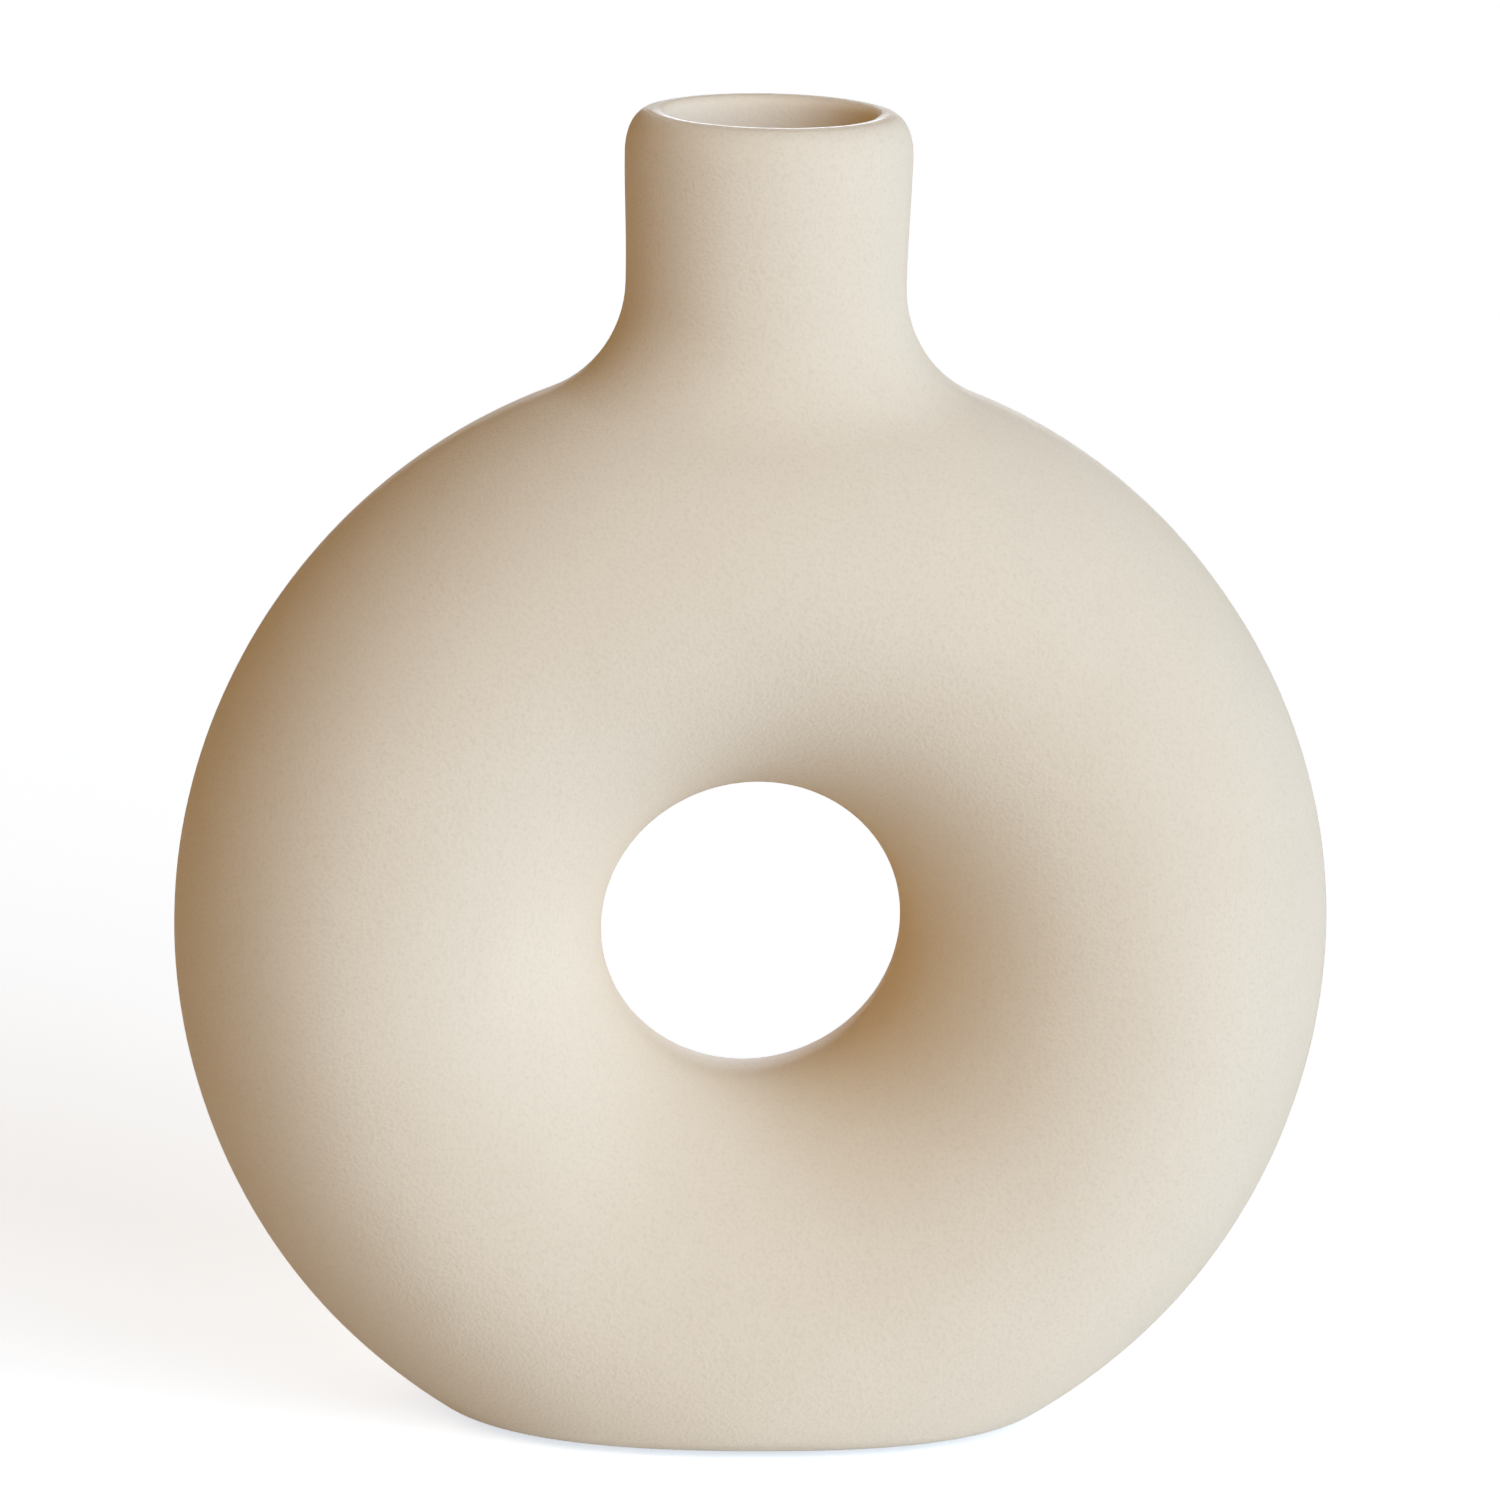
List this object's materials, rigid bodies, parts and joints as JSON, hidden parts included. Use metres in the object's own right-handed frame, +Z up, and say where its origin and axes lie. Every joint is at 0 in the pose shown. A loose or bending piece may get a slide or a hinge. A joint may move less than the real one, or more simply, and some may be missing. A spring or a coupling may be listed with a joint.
{
  "type": "donut vase",
  "caption": "Hollow ceramic ring vase with a round eye, a flattened foot to stand on and a short bottle neck for stems.",
  "frame": {"origin": "centre of the footprint, on the surface that the vase stands on", "axes": "+Z up to the mouth, +X across the ring, +Y from the front to the back along the ring's own axis"},
  "size_m": [0.183, 0.084, 0.2092],
  "materials": {
    "matte_glaze": "matte cream glaze with a fine grain over stoneware",
    "felt": "pressed wool felt"
  },
  "bodies": {
    "root": {"front_half_ring": "matte_glaze", "rear_half_ring": "matte_glaze", "base_slab": "matte_glaze", "neck_collar": "matte_glaze", "felt_pad_front_left": "felt", "felt_pad_front_right": "felt", "felt_pad_rear_left": "felt", "felt_pad_rear_right": "felt"}
  },
  "joints": []
}
